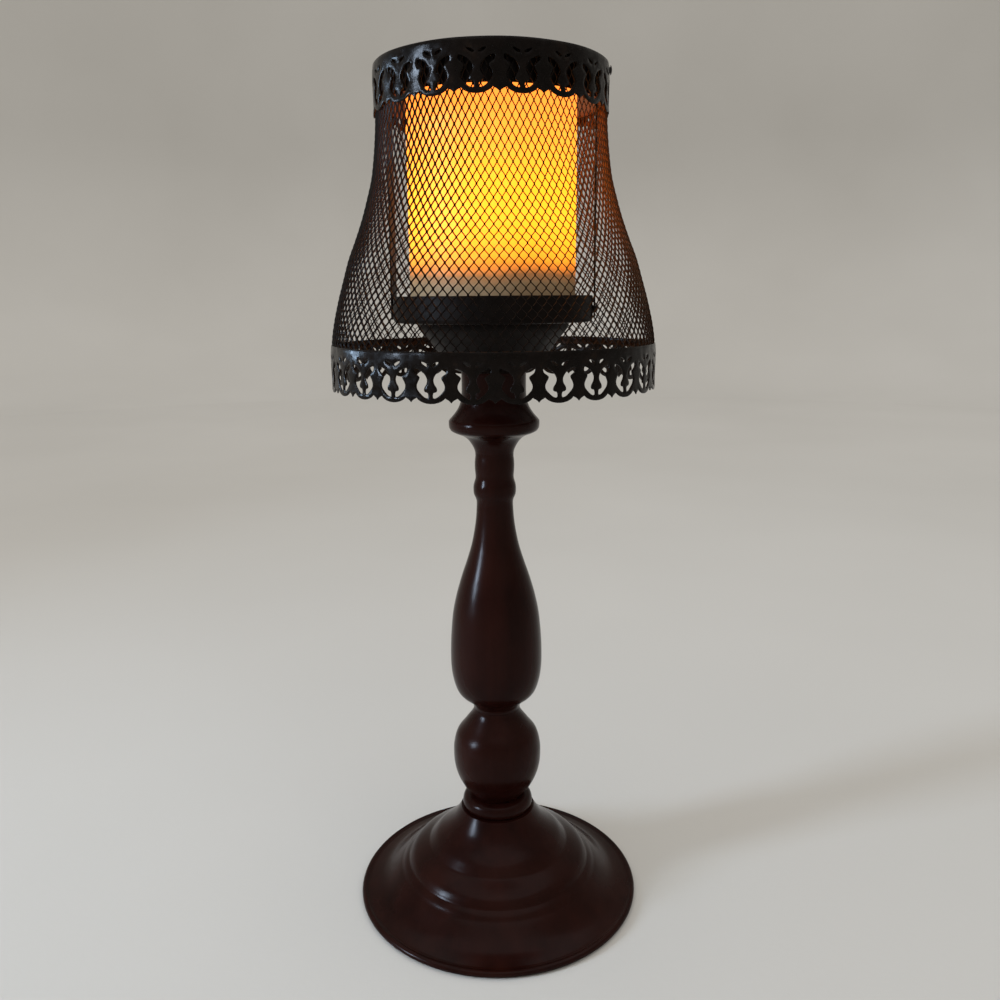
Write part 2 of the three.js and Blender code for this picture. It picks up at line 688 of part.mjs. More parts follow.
// Foot and column
piece("foot_shell", footShell(), lacquer());
piece("foot_weight", footWeight(), iron());
piece("foot_cover_plate", ring(weightBoreRadius, plateRadius, plateBase, plateWall, footSides), steel());
piece("felt_pad", ring(weightBoreRadius, plateRadius, 0, feltWall, footSides), felt());
for (const [name, ...form] of [
  ["column_collar", collarShares, collarRadius, collarHeight, collarBase, collarSteps],
  ["ball_knop", ballShares, ballRadius, ballHeight, ballBase, ballSteps],
  ["vase_baluster", vaseShares, vaseRadius, vaseHeight, vaseBase, vaseSteps],
  ["beaded_neck", neckShares, neckRadius, neckHeight, neckBase, neckSteps],
]) {
  piece(name, columnPiece(...form), lacquer());
}
piece("capital", capital(), lacquer());
piece("pan_bowl", bowl(), darkMetal());
piece("candle_pan", pan(), darkMetal());

// Rod, nuts and washers
piece("tie_rod", rod(), steel());
piece("lower_washer", washer(weightBase + nutHeight + gap), steel());
piece("lower_nut", nut(weightBase), steel());
piece("upper_washer", washer(topWasherBase), steel());
piece("upper_nut", nut(topNutBase), steel());

// Shade on its ring and straps, the left strap turned half round the lamp's axis
piece("shade_bottom_band", piercedBand(bottomBandRadius, shadeBase, bottomMotifs), darkMetal());
piece("shade_top_band", topBand(), darkMetal());
piece("shade_mesh", meshShade(), darkMetal());
piece("support_ring", supportRing(), darkMetal());
for (const [side, turn] of [["right", 0], ["left", Math.PI]]) {
  const group = new THREE.Group();
  group.rotation.z = turn;
  lamp.add(group);
  piece(`strap_${side}`, strap(), darkMetal(), group);
  piece(`pan_rivet_${side}`, rivet(panRadius - panWall, strapFootOuter, panRivetHeight), darkMetal(), group);
  piece(`shade_rivet_${side}`, rivet(strapTopInner, topBandRadius, shadeRivetHeight), darkMetal(), group);
}

// Candle and its works
const candle = new THREE.Group();
lamp.add(candle);
piece("candle_wax", waxShell(), wax(), candle);
piece("candle_housing", housing(), plastic(0xd9d4c4), candle);
for (const [side, x] of [["left", -cellRadius - gap], ["right", cellRadius + gap]]) {
  piece(`battery_${side}`, cell().translate(x, 0, 0), finish(0xb08a3a, 0.4, 0.7), candle);
  piece(`upper_contact_${side}`, upperContact().translate(x, 0, 0), steel(), candle);
}
const board = ring(diodeRadius, tubeInner, tubeTop + gap, boardWall, fittingSides);
piece("circuit_board", board, plastic(0x1f5a33), candle);
piece("light_diode", diode(), plastic(0xffe2a0), candle);
piece("switch_body", switchBody(), plastic(0x202020), candle);
piece("switch_slider", switchSlider(), plastic(0x181818), candle);
piece("battery_door", batteryDoor(), plastic(0xcfc9b8), candle);
piece("door_contact", lowerContact(), steel(), candle);

export default lamp;
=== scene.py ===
"""Finished look of a candle lamp: a lacquered turned stand, a pan with a glowing battery candle, and a bell shade
of expanded mesh between two pierced bands. Shapes are written in millimetres and made in metres."""

import math

import bmesh
import bpy
from mathutils import Matrix, Vector
from mathutils.geometry import delaunay_2d_cdt


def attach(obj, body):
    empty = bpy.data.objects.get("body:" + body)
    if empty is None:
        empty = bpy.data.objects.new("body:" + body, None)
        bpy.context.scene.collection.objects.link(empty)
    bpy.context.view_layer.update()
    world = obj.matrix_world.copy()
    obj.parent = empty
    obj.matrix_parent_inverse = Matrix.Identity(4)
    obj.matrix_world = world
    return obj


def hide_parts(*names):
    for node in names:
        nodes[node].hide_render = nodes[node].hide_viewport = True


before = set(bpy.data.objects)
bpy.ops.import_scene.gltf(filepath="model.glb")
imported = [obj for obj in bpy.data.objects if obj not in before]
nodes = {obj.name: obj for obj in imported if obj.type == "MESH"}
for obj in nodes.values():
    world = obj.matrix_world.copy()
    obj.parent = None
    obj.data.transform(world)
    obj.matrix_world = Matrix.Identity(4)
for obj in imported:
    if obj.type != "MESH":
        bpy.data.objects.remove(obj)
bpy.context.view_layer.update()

MM = 0.001
FINE = 144  # facets round a turned piece
BORE = 3.3  # radius of the hole for the rod

# Places along the lamp's axis
SHADE_BASE = 264.0
BAND_HEIGHT = 20.4
SHADE_TOP = SHADE_BASE + 138.0
CANDLE_BASE = 295.3
CANDLE_TOP = 389.3


# Materials

class Shader:
    """A material and short ways to add nodes to it."""

    def __init__(self, name, color, roughness, metallic=0.0, **sockets):
        self.material = bpy.data.materials.new(name)
        self.material.use_nodes = True
        self.tree = self.material.node_tree
        self.base = self.tree.nodes["Principled BSDF"]
        self.base.inputs["Base Color"].default_value = (*color, 1)
        self.base.inputs["Roughness"].default_value = roughness
        self.base.inputs["Metallic"].default_value = metallic
        for socket, value in sockets.items():
            self.base.inputs[socket.replace("_", " ")].default_value = value
        place = self.tree.nodes.new("ShaderNodeTexCoord")
        self.place, self.normal = place.outputs["Object"], place.outputs["Normal"]
        self.material.diffuse_color = (*color, 1)

    def node(self, kind, inputs=(), **settings):
        made = self.tree.nodes.new(kind)
        for key, value in settings.items():
            setattr(made, key, value)
        for socket, value in dict(inputs).items():
            if isinstance(value, bpy.types.NodeSocket):
                self.tree.links.new(value, made.inputs[socket])
            else:
                made.inputs[socket].default_value = value
        return made

    def noise(self, scale, detail=3.0, rough=0.5, stretch=(1, 1, 1)):
        mapped = self.node("ShaderNodeMapping", {"Vector": self.place, "Scale": stretch})
        made = self.node("ShaderNodeTexNoise", {
            "Vector": mapped.outputs["Vector"], "Scale": scale, "Detail": detail, "Roughness": rough})
        return made.outputs["Fac"]

    def ramp(self, factor, stops):
        made = self.node("ShaderNodeValToRGB", {"Fac": factor})
        elements = made.color_ramp.elements
        while len(elements) < len(stops):
            elements.new(0.5)
        for element, (place, color) in zip(elements, stops):
            element.position = place
            element.color = (*color, 1)
        return made.outputs["Color"]

    def span(self, value, low, high, to_low=0.0, to_high=1.0):
        made = self.node("ShaderNodeMapRange", {
            "Value": value, "From Min": low, "From Max": high, "To Min": to_low, "To Max": to_high})
        return made.outputs["Result"]

    def mix(self, factor, first, second, blend="MIX"):
        made = self.node("ShaderNodeMix", data_type="RGBA", blend_type=blend)
        for index, value in ((0, factor), (6, first), (7, second)):
            if isinstance(value, bpy.types.NodeSocket):
                self.tree.links.new(value, made.inputs[index])
            else:
                made.inputs[index].default_value = value
        return made.outputs[2]

    def bump(self, height, strength, distance, over=None):
        made = self.node("ShaderNodeBump", {"Height": height, "Strength": strength, "Distance": distance})
        if over is not None:
            self.tree.links.new(over, made.inputs["Normal"])
        return made.outputs["Normal"]

    def link(self, socket, value):
        self.tree.links.new(value, self.base.inputs[socket])


def lacquer():
    """Dark red-brown lacquer on turned wood: faint grain along the axis, soft gloss, a few rubbed spots."""
    s = Shader("lacquer", (0.01, 0.0023, 0.0016), 0.2, Specular_IOR_Level=0.08)
    grain = s.noise(90, 4, 0.6, (1, 1, 0.12))
    cloud = s.noise(26, 3, 0.5)
    dark = s.ramp(grain, [(0.3, (0.0062, 0.0012, 0.0008)), (0.72, (0.0145, 0.0032, 0.0021))])
    s.link("Base Color", s.mix(s.span(cloud, 0.35, 0.7, 0.0, 0.4), dark, (0.025, 0.0066, 0.004, 1)))
    s.link("Roughness", s.span(s.noise(60, 4, 0.6), 0.3, 0.75, 0.17, 0.28))
    fine = s.bump(s.noise(900, 2), 0.05, 0.0003)
    s.link("Normal", s.bump(grain, 0.05, 0.001, fine))
    return s.material


def bronze(name, tone, rough, level, inside=None):
    """Near-black bronze paint on sheet metal, uneven in gloss, with warmer rubbed spots. Tone scales its colour,
    rough is its gloss and level how much it mirrors. The colour called inside is painted candle glow: it is laid on
    the faces turned to the lamp's axis, most of all near the top, where the candle lights them."""
    s = Shader(name, (0.005 * tone, 0.0032 * tone, 0.0024 * tone), rough, Specular_IOR_Level=level)
    spots = s.noise(120, 4, 0.6)
    color = s.ramp(spots, [(0.3, (0.0025 * tone, 0.0016 * tone, 0.0012 * tone)),
                           (0.62, (0.006 * tone, 0.0037 * tone, 0.0028 * tone)),
                           (0.8, (0.016 * tone, 0.009 * tone, 0.0055 * tone))])
    if inside:
        spoke = s.node("ShaderNodeVectorMath", {0: s.place, 1: (1, 1, 0)}, operation="MULTIPLY").outputs[0]
        away = s.node("ShaderNodeVectorMath", {0: spoke}, operation="NORMALIZE").outputs[0]
        facing = s.node("ShaderNodeVectorMath", {0: away, 1: s.normal}, operation="DOT_PRODUCT").outputs["Value"]
        height = s.node("ShaderNodeSeparateXYZ", {"Vector": s.place}).outputs["Z"]
        # Painted candle glow: the inside colour's share grows on faces turned to the axis and with height.
        painted_glow_share = s.node("ShaderNodeMath", {0: s.span(facing, 0.25, -0.35), 1: s.span(height, 0.29, 0.35, 0.2)},
                      operation="MULTIPLY").outputs[0]
        color = s.mix(painted_glow_share, color, (*inside, 1))
    s.link("Base Color", color)
    s.link("Roughness", s.span(s.noise(220, 3, 0.6), 0.3, 0.7, rough - 0.08, rough + 0.14))
    dents = s.noise(75, 2, 0.4)
    orange_peel = s.bump(s.noise(1500, 2), 0.12, 0.0002)
    s.link("Normal", s.bump(dents, 0.75, 0.0016, orange_peel))
    return s.material


def wax():
    """Ivory wax lit from inside: dull at the foot, amber above it, gold at the height of the diode."""
    s = Shader("wax", (0.4, 0.3, 0.18), 0.55, Specular_IOR_Level=0.3)
    sway = 0.006  # how far the bands of colour wander up and down
    height = s.node("ShaderNodeSeparateXYZ", {"Vector": s.place}).outputs["Z"]
    cloud = s.noise(34, 3, 0.55)
    fine = s.noise(260, 3, 0.6)
    wander = s.node("ShaderNodeMath", {0: cloud, 1: sway}, operation="MULTIPLY").outputs[0]
    level = s.node("ShaderNodeMath", {0: height, 1: wander}, operation="ADD").outputs[0]
    share = s.span(level, CANDLE_BASE * MM + sway / 2, CANDLE_TOP * MM + sway / 2)
    # Painted glow: above the dull foot the wax's own ivory is coloured amber, the tint of the light inside it, so that
    # the lamps don't pale it.
    body = s.ramp(share, [(0.0, (0.36, 0.28, 0.185)), (0.16, (0.34, 0.23, 0.12)), (0.25, (0.33, 0.16, 0.03)),
                          (0.5, (0.3, 0.16, 0.02)), (1.0, (0.3, 0.15, 0.02))])
    s.link("Base Color", s.mix(s.span(fine, 0.3, 0.7, 0.0, 0.12), body, (0.8, 0.62, 0.36, 1)))
    glow = s.ramp(share, [(0.0, (0, 0, 0)), (0.15, (0.004, 0.0012, 0)), (0.195, (0.06, 0.013, 0)),
                          (0.235, (0.38, 0.088, 0.0015)), (0.275, (0.72, 0.19, 0.004)),
                          (0.34, (0.9, 0.265, 0.005)), (0.46, (0.96, 0.312, 0.008)),
                          (0.59, (0.96, 0.306, 0.008)), (0.76, (0.89, 0.243, 0.016)),
                          (1.0, (0.82, 0.187, 0.024))])
    # Painted shade: in the melted hollow of the top the glow is dimmed to about half and made redder, so that the
    # hollow shows.
    flat = s.node("ShaderNodeVectorMath", {0: s.place, 1: (1, 1, 0)}, operation="MULTIPLY").outputs[0]
    radius = s.node("ShaderNodeVectorMath", {0: flat}, operation="LENGTH").outputs["Value"]
    well = s.mix(1.0, glow, (0.5, 0.42, 0.5, 1), "MULTIPLY")
    s.link("Emission Color", s.mix(s.span(radius, 0.024, 0.0345), well, glow))
    s.base.inputs["Emission Strength"].default_value = 2.5
    s.link("Normal", s.bump(fine, 0.06, 0.0006))
    return s.material


def metal(name, color, roughness):
    """Bare metal with a fine, uneven surface."""
    s = Shader(name, color, roughness, 1.0)
    cloud = s.noise(300, 4, 0.6)
    low = tuple(c * 0.72 for c in color)
    high = tuple(min(c * 1.2, 1) for c in color)
    s.link("Base Color", s.ramp(cloud, [(0.3, low), (0.75, high)]))
    s.link("Roughness", s.span(cloud, 0.3, 0.75, roughness - 0.12, roughness + 0.12))
    s.link("Normal", s.bump(s.noise(1200, 3), 0.08, 0.0003))
    return s.material


def moulded(name, color, roughness):
    """Moulded plastic, a little cloudy, with a fine skin."""
    s = Shader(name, color, roughness)
    cloud = s.noise(160, 3, 0.5)
    low = tuple(c * 0.88 for c in color)
    high = tuple(min(c * 1.08, 1) for c in color)
    s.link("Base Color", s.ramp(cloud, [(0.35, low), (0.7, high)]))
    s.link("Roughness", s.span(s.noise(500, 3), 0.3, 0.7, roughness - 0.06, roughness + 0.08))
    s.link("Normal", s.bump(s.noise(1800, 2), 0.1, 0.0002))
    return s.material


def felt():
    s = Shader("felt", (0.012, 0.014, 0.012), 0.95, Sheen_Weight=0.4, Sheen_Roughness=0.5)
    fibres = s.noise(1400, 4, 0.7, (1, 1, 0.3))
    s.link("Base Color", s.ramp(fibres, [(0.3, (0.006, 0.007, 0.006)), (0.75, (0.03, 0.033, 0.028))]))
    s.link("Normal", s.bump(fibres, 0.6, 0.0006))
    return s.material


def cast_iron():
    s = Shader("cast_iron", (0.05, 0.05, 0.052), 0.62, 0.8)
    grit = s.noise(700, 4, 0.7)
    s.link("Base Color", s.ramp(grit, [(0.3, (0.025, 0.024, 0.024)), (0.7, (0.08, 0.078, 0.078))]))
    s.link("Normal", s.bump(grit, 0.5, 0.0006))
    return s.material


def backdrop_paint():
    s = Shader("backdrop_paint", (0.56, 0.54, 0.5), 0.85)
    cloud = s.noise(1.6, 3, 0.5)
    s.link("Base Color", s.ramp(cloud, [(0.3, (0.54, 0.52, 0.48)), (0.7, (0.58, 0.56, 0.52))]))
    s.link("Normal", s.bump(s.noise(240, 4, 0.6), 0.1, 0.001))
    return s.material


LACQUER = lacquer()
# The last colour given to a bronze is painted candle glow on its faces turned to the axis.
BAND_BRONZE = bronze("band_bronze", 0.9, 0.2, 0.09, (0.05, 0.026, 0.012))
MESH_BRONZE = bronze("mesh_bronze", 0.9, 0.4, 0.06, (0.14, 0.064, 0.026))
STRAP_BRONZE = bronze("strap_bronze", 1.0, 0.42, 0.1, (0.035, 0.024, 0.014))
PAN_BRONZE = bronze("pan_bronze", 1.15, 0.45, 0.08)
WAX = wax()
STEEL = metal("steel", (0.42, 0.42, 0.41), 0.3)
BLACK_STEEL = metal("black_steel", (0.03, 0.028, 0.027), 0.36)


# Shapes

def make(name, vertices, faces, body, material, replaced, sharp=38):
    """A mesh object from millimetre points, smooth but for edges over sharp degrees, riding on a body."""
    data = bpy.data.meshes.new(name)
    data.from_pydata([(x * MM, y * MM, z * MM) for x, y, z in vertices], [], faces)
    tidy = bmesh.new()
    tidy.from_mesh(data)
    bmesh.ops.remove_doubles(tidy, verts=tidy.verts, dist=1e-7)
    bmesh.ops.recalc_face_normals(tidy, faces=tidy.faces)
    tidy.to_mesh(data)
    tidy.free()
    data.shade_smooth()
    data.set_sharp_from_angle(angle=math.radians(sharp))
    data.materials.append(material)
    piece = bpy.data.objects.new(name, data)
    bpy.context.scene.collection.objects.link(piece)
    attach(piece, body)
    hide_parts(*replaced)


def flow(points, step=1.1):
    """Points of a smooth line through the given ones, about a step apart. A third item marks a corner."""
    runs = [[]]
    for point in points:
        runs[-1].append(point[:2])
        if len(point) > 2:
            runs.append([point[:2]])
    line = []
    for run in runs:
        if len(run) < 2:
            continue
        full = [run[0]] + run + [run[-1]]
        for i in range(1, len(full) - 2):
            p0, p1, p2, p3 = (Vector(p) for p in full[i - 1:i + 3])
            count = max(1, round((p2 - p1).length / step))
            for k in range(count):
                t = k / count
                line.append(0.5 * (2 * p1 + (p2 - p0) * t + (2 * p0 - 5 * p1 + 4 * p2 - p3) * t ** 2
                                   + (3 * p1 - p0 - 3 * p2 + p3) * t ** 3))
        line.append(Vector(run[-1]))
    kept = [line[0]]
    for point in line[1:]:
        if (point - kept[-1]).length > 1e-4:
            kept.append(point)
    return [(p.x, p.y) for p in kept]


def turn(outline, sides=FINE, warp=None):
    """Vertices and faces of a solid of revolution from a closed outline of (radius, height). Warp gives a
    point's radius and height from its angle, radius and height."""
    vertices, rows = [], []
    for radius, height in outline:
        row = []
        if radius < 1e-6:
            vertices.append((0, 0, height))
            row = [len(vertices) - 1] * sides
        else:
            for k in range(sides):
                angle = 2 * math.pi * k / sides
                r, z = (radius, height) if warp is None else warp(angle, radius, height)
                vertices.append((r * math.cos(angle), r * math.sin(angle), z))
                row.append(len(vertices) - 1)
        rows.append(row)
    closed = outline[0][0] > 1e-6 or outline[-1][0] > 1e-6
    faces = []
    for i in range(len(rows) if closed else len(rows) - 1):
        a, b = rows[i], rows[(i + 1) % len(rows)]
        for k in range(sides):
            n = (k + 1) % sides
            corners = []
            for v in (a[k], a[n], b[n], b[k]):
                if v not in corners:
                    corners.append(v)
            if len(corners) > 2:
                faces.append(corners)
    return vertices, faces


def arc(centre, radius, start, end, steps):
    return [(centre[0] + radius * math.cos(math.radians(start + (end - start) * i / steps)),
             centre[1] + radius * math.sin(math.radians(start + (end - start) * i / steps)))
            for i in range(steps + 1)]


# Stand

def foot():
    bead = arc((70.35, 1.95), 1.62, -175, 118, 22)
    outside = [(69.0, 3.1, 1), (67.4, 3.4), (64.4, 4.1), (61.6, 5.1), (59.2, 6.5), (57.0, 8.2), (54.5, 10.4),
               (52.3, 12.4), (50.5, 13.9, 1), (49.9, 14.65), (49.1, 15.5), (48.2, 16.3), (47.2, 17.0, 1),
               (46.8, 17.35, 1), (46.4, 18.2), (45.8, 19.2), (45.0, 20.2), (44.2, 21.1, 1), (43.0, 22.0),
               (41.3, 23.1), (39.4, 24.2), (37.6, 25.2), (36.1, 26.1, 1), (33.8, 28.7), (31.6, 31.1), (27.2, 34.9),
               (23.6, 38.6), (21.2, 42.0), (19.6, 44.8), (18.9, 46.2, 1)]
    inside = [(BORE, 46.2), (BORE, 44.8), (17.4, 44.8), (20, 41.4), (26.2, 33.9), (34.9, 25.2), (43, 18.1),
              (57.8, 5.4), (65.7, 2.8), (68.7, 2.1)]
    vertices, faces = turn(bead + flow(outside) + inside)
    make("foot_fine", vertices, faces, "stand", LACQUER, ["foot_shell"])


def column():
    """The turned pieces from the foot to the pan, each bored for the rod. The bowl takes the pan's well too."""
    pieces = {
        "column_collar": [(16.6, 46.3, 1), (17.4, 46.9), (18.0, 48.6), (17.8, 50.6), (16.9, 52.4), (15.2, 53.4),
                          (13.6, 53.75, 1)],
        "ball_knop": [(13.5, 54.0, 1), (15.0, 56.0), (17.3, 59.0), (20.3, 65.0), (21.9, 71.0), (22.3, 76.6),
                      (22.0, 82.0), (20.3, 88.0), (16.6, 93.0), (12.9, 98.0), (11.8, 100.2), (11.6, 101.45, 1)],
        "vase_baluster": [(11.7, 101.65, 1), (11.9, 103.0), (13.3, 105.4), (15.6, 107.3), (17.9, 109.2), (19.5, 111.2),
                          (20.6, 113.6), (21.6, 117.0), (22.4, 121.5), (22.8, 127.5), (22.7, 136.0), (22.2, 144.0),
                          (21.2, 153.0), (19.3, 162.0), (16.7, 171.0), (14.0, 179.0), (11.6, 187.0), (10.0, 195.0),
                          (9.2, 201.0), (8.8, 206.93, 1)],
        "beaded_neck": [(8.8, 206.95, 1), (8.85, 209.2), (9.4, 210.9), (10.1, 212.6), (10.3, 214.8), (10.15, 217.0),
                        (9.6, 218.9), (9.2, 220.4), (9.2, 221.9), (9.4, 224.0), (9.5, 226.6), (9.35, 229.4),
                        (9.15, 231.2), (9.2, 232.58, 1)],
        "capital": [(9.2, 232.6, 1), (9.5, 234.0), (10.5, 236.2), (12.0, 238.5), (13.7, 240.2), (15.8, 241.5),
                    (18.5, 242.5), (20.7, 243.7), (21.4, 245.0), (21.55, 246.6), (21.5, 248.1), (20.8, 249.0, 1),
                    (19.8, 250.1), (18.5, 251.7), (17.3, 253.5), (16.3, 255.5), (15.6, 258.0), (15.2, 262.0),
                    (15.2, 271.13, 1)],
        "pan_bowl": [(15.2, 271.15, 1), (16.6, 271.6), (19.0, 272.8), (22.2, 275.4), (24.8, 278.6), (27.2, 282.0),
                     (30.0, 285.7), (32.8, 288.9), (34.6, 291.4), (35.2, 293.6, 1)],
    }
    pocket_radius, pocket_floor = 11.8, 287.5
    for name, outside in pieces.items():
        low, high = outside[0][1], outside[-1][1]
        material, slot, inside = LACQUER, "lacquered_wood", [(BORE, high), (BORE, low)]
        if name == "pan_bowl":
            material, slot = PAN_BRONZE, "dark_metal"
            inside = [(pocket_radius, high), (pocket_radius, pocket_floor), (BORE, pocket_floor), (BORE, low)]
        vertices, faces = turn(flow(outside) + inside)
        make(f"{name}_fine", vertices, faces, "stand", material, [name])


def pan():
    """The pan with its sunk well, upright wall and rounded lip."""
    outside = [(BORE, 287.8, 1), (11.5, 287.8, 1), (11.5, 293.8, 1), (43.9, 293.8, 1), (45.1, 294.1), (45.7, 295.1),
               (45.7, 304.9, 1)]
    lip = arc((45.1, 304.95), 0.62, 0, 180, 10)
    inside = flow([(44.48, 304.9, 1), (44.48, 297.0), (44.0, 295.6), (42.8, 295.05, 1), (10.7, 295.0, 1),
                   (10.3, 294.4), (10.3, 289.2, 1), (BORE, 289.0, 1)])
    vertices, faces = turn(flow(outside) + lip[1:-1] + inside)
    make("pan_fine", vertices, faces, "stand", PAN_BRONZE, ["candle_pan"])


# Pierced bands

# One motif as drawn, from its lower edge up and from its middle to the left
PITCH = 17.4  # its width
SLOT = [(-7.1, 13.7), (-6.75, 12.2), (-5.6, 11.3), (-4.75, 10.5), (-4.95, 9.6), (-5.6, 8.5), (-6.1, 7.1),
        (-5.8, 5.6), (-4.5, 4.1), (-2.9, 2.75), (-1.6, 2.3), (-1.0, 2.6), (-0.95, 3.6), (-1.25, 4.4), (-2.1, 4.65),
        (-2.75, 5.2), (-2.6, 6.4), (-1.75, 7.7), (-1.35, 9.0), (-1.55, 10.3), (-2.6, 11.9), (-4.3, 13.2),
        (-6.2, 13.95)]
WEDGE = [(-0.75, 14.9), (-1.0, 15.5), (-2.0, 16.1), (-3.4, 16.55), (-3.7, 16.2), (-2.9, 15.4), (-1.6, 14.7)]
SCALLOP = [(-8.7, 0.55), (-8.1, 1.25), (-7.4, 1.75), (-6.75, 2.05), (-6.15, 2.45), (-5.5, 1.75), (-4.5, 1.1),
           (-3.2, 0.55), (-1.6, 0.2), (0, 0.1)]
BEVEL = 0.13  # width of the worn edge round the strip and its holes
ROLL, ROLL_HEIGHT = 0.35, 5.5  # how far the upper edge leans in, and the height that it starts from the edge
WAVE, SETBACK = 0.09, 0.18  # how far the sheet strays, and how far it is set in for that


def rounded(loop, cuts=3):
    """A smooth closed line through a loop's points."""
    made = []
    for i in range(len(loop)):
        p0, p1, p2, p3 = (Vector(loop[(i + k - 1) % len(loop)]) for k in range(4))
        for k in range(cuts):
            t = k / cuts
            point = 0.5 * (2 * p1 + (p2 - p0) * t + (2 * p0 - 5 * p1 + 4 * p2 - p3) * t ** 2
                           + (3 * p1 - p0 - 3 * p2 + p3) * t ** 3)
            made.append((point.x, point.y))
    return made


def inside_loop(point, loop):
    x, y = point
    hit = False
    for (x0, y0), (x1, y1) in zip(loop, loop[1:] + loop[:1]):
        if (y0 > y) != (y1 > y) and x < (x1 - x0) * (y - y0) / (y1 - y0) + x0:
            hit = not hit
    return hit


def offset(loop, amount, closed):
    """A loop moved to its left, with points on a motif's seam kept on it."""
    moved = []
    count = len(loop)
    for i, (x, y) in enumerate(loop):
        before = loop[(i - 1) % count] if closed or i > 0 else loop[i]
        after = loop[(i + 1) % count] if closed or i < count - 1 else loop[i]
        along = Vector(after) - Vector(before)
        along.normalize()
        nx, ny = -along.y, along.x
        if abs(abs(x) - PITCH / 2) < 1e-6:
            nx, ny = 0, (1 if ny > 0 else -1)
        moved.append((x + nx * amount, y + ny * amount))
    return moved


def mirrored(loop):
    return [(-x, y) for x, y in reversed(loop)]


def motif():
    """One motif: flat faces inside a bevelled outline, and the outline's rings from the outer to the inner face."""
    lower = SCALLOP[:-1] + [(-x, y) for x, y in reversed(SCALLOP)]
    top = [(PITCH / 2 - i * PITCH / 12, BAND_HEIGHT) for i in range(13)]
    slot, wedge = rounded(SLOT), rounded(WEDGE, 2)
    holes = [slot, mirrored(slot), wedge, mirrored(wedge)]

    def area(loop):
        return sum(x0 * y1 - x1 * y0 for (x0, y0), (x1, y1) in zip(loop, loop[1:] + loop[:1]))

    holes = [hole if area(hole) < 0 else hole[::-1] for hole in holes]
    edges = [(lower, False), (top, False)] + [(hole, True) for hole in holes]
    face_lines = [offset(line, BEVEL, closed) for line, closed in edges]
    side = [3.0, 5.5, 8.0, 10.5, 13.0, 15.5, 18.0]
    outline = face_lines[0] + [(PITCH / 2, y) for y in side] + face_lines[1] + [(-PITCH / 2, y) for y in side[::-1]]
    points = [Vector(p) for p in outline]
    links = [(i, (i + 1) % len(points)) for i in range(len(points))]
    for hole in face_lines[2:]:
        first = len(points)
        points += [Vector(p) for p in hole]
        links += [(first + i, first + (i + 1) % len(hole)) for i in range(len(hole))]
    across, up, shift = 1.35, 1.45, 0.6  # of the points spread over the faces, so that they bend smoothly
    for i in range(-6, 7):
        for j in range(1, 14):
            spot = (i * across + (shift if j % 2 else 0), j * up)
            near = min((Vector(spot) - p).length for p in points[:len(outline)])
            if abs(spot[0]) < PITCH / 2 - 0.5 and near > 0.7 and inside_loop(spot, outline):
                if all(min((Vector(spot) - Vector(p)).length for p in hole) > 0.6 for hole in face_lines[2:]):
                    points.append(Vector(spot))
    found, _, triangles, *_ = delaunay_2d_cdt(points, links, [], 0, 1e-5)
    found = [(p.x, p.y) for p in found]
    faces = []
    for corners in triangles:
        centre = tuple(sum(found[c][k] for c in corners) / 3 for k in (0, 1))
        if inside_loop(centre, outline) and not any(inside_loop(centre, hole) for hole in face_lines[2:]):
            faces.append(corners)
    return found, faces, [(line, inner, closed) for (line, closed), inner in zip(edges, face_lines)]


def pierced_band(name, radius, base, motifs, wall, node):
    """The motif repeated round a ring, bent, with its upper edge rolled in a little and the sheet not quite true."""
    found, faces, outlines = motif()
    vertices, polygons = [], []

    def bend(x, y, depth, k):
        turned = (k + x / PITCH) / motifs * 2 * math.pi
        angle = turned - math.pi / 2
        roll = ROLL * max(0.0, (y - BAND_HEIGHT + ROLL_HEIGHT) / ROLL_HEIGHT) ** 2
        wave = WAVE * (math.sin(5 * turned + 1.3) + math.sin(11 * turned + y * 0.22)) - SETBACK
        r = radius - depth - roll + wave * min(1.0, y / 4)
        return r * math.cos(angle), r * math.sin(angle), base + y

    for k in range(motifs):
        for depth, flip in ((0.0, False), (wall, True)):
            first = len(vertices)
            vertices += [bend(x, y, depth, k) for x, y in found]
            polygons += [[first + c for c in (reversed(face) if flip else face)] for face in faces]
        for line, inner, closed in outlines:
            count = len(line)
            first = len(vertices)
            for ring, depth in ((inner, 0.0), (line, BEVEL), (line, wall - BEVEL), (inner, wall)):
                vertices += [bend(x, y, depth, k) for x, y in ring]
            for level in range(3):
                for i in range(count if closed else count - 1):
                    a = first + level * count + i
                    b = first + level * count + (i + 1) % count
                    polygons.append([a, a + count, b + count, b])
    make(name, vertices, polygons, "stand", BAND_BRONZE, [node], 50)


# Expanded mesh

COLUMNS = 106  # gaps round the bell
BELL = [(74.0, 280.6), (74.0, 284.6), (73.7, 288.0), (72.5, 294.7), (70.3, 303.7), (67.7, 312.6), (65.0, 321.5),
        (61.6, 330.0), (58.3, 339.0), (55.7, 347.6), (53.5, 356.0), (52.2, 365.0), (51.4, 373.0), (50.9, 381.0),
        (50.75, 390.0), (50.75, 400.2)]
BOND = 0.38  # half the width of a bond between two gaps
SIDE = 0.35  # half the height of a bond
APEX = 0.5  # distance from a bond's middle to the gap's point above or below it
TILT = 0.2  # how far the two sides of a bond stand out of the sheet
SHEET = 0.4  # its thickness
TALL, SHORT = 5.8, 5.1  # height of a gap where the bell is narrow and where it is wide
NARROW, WIDE = 53, 62  # radii where the gaps start and stop to shorten


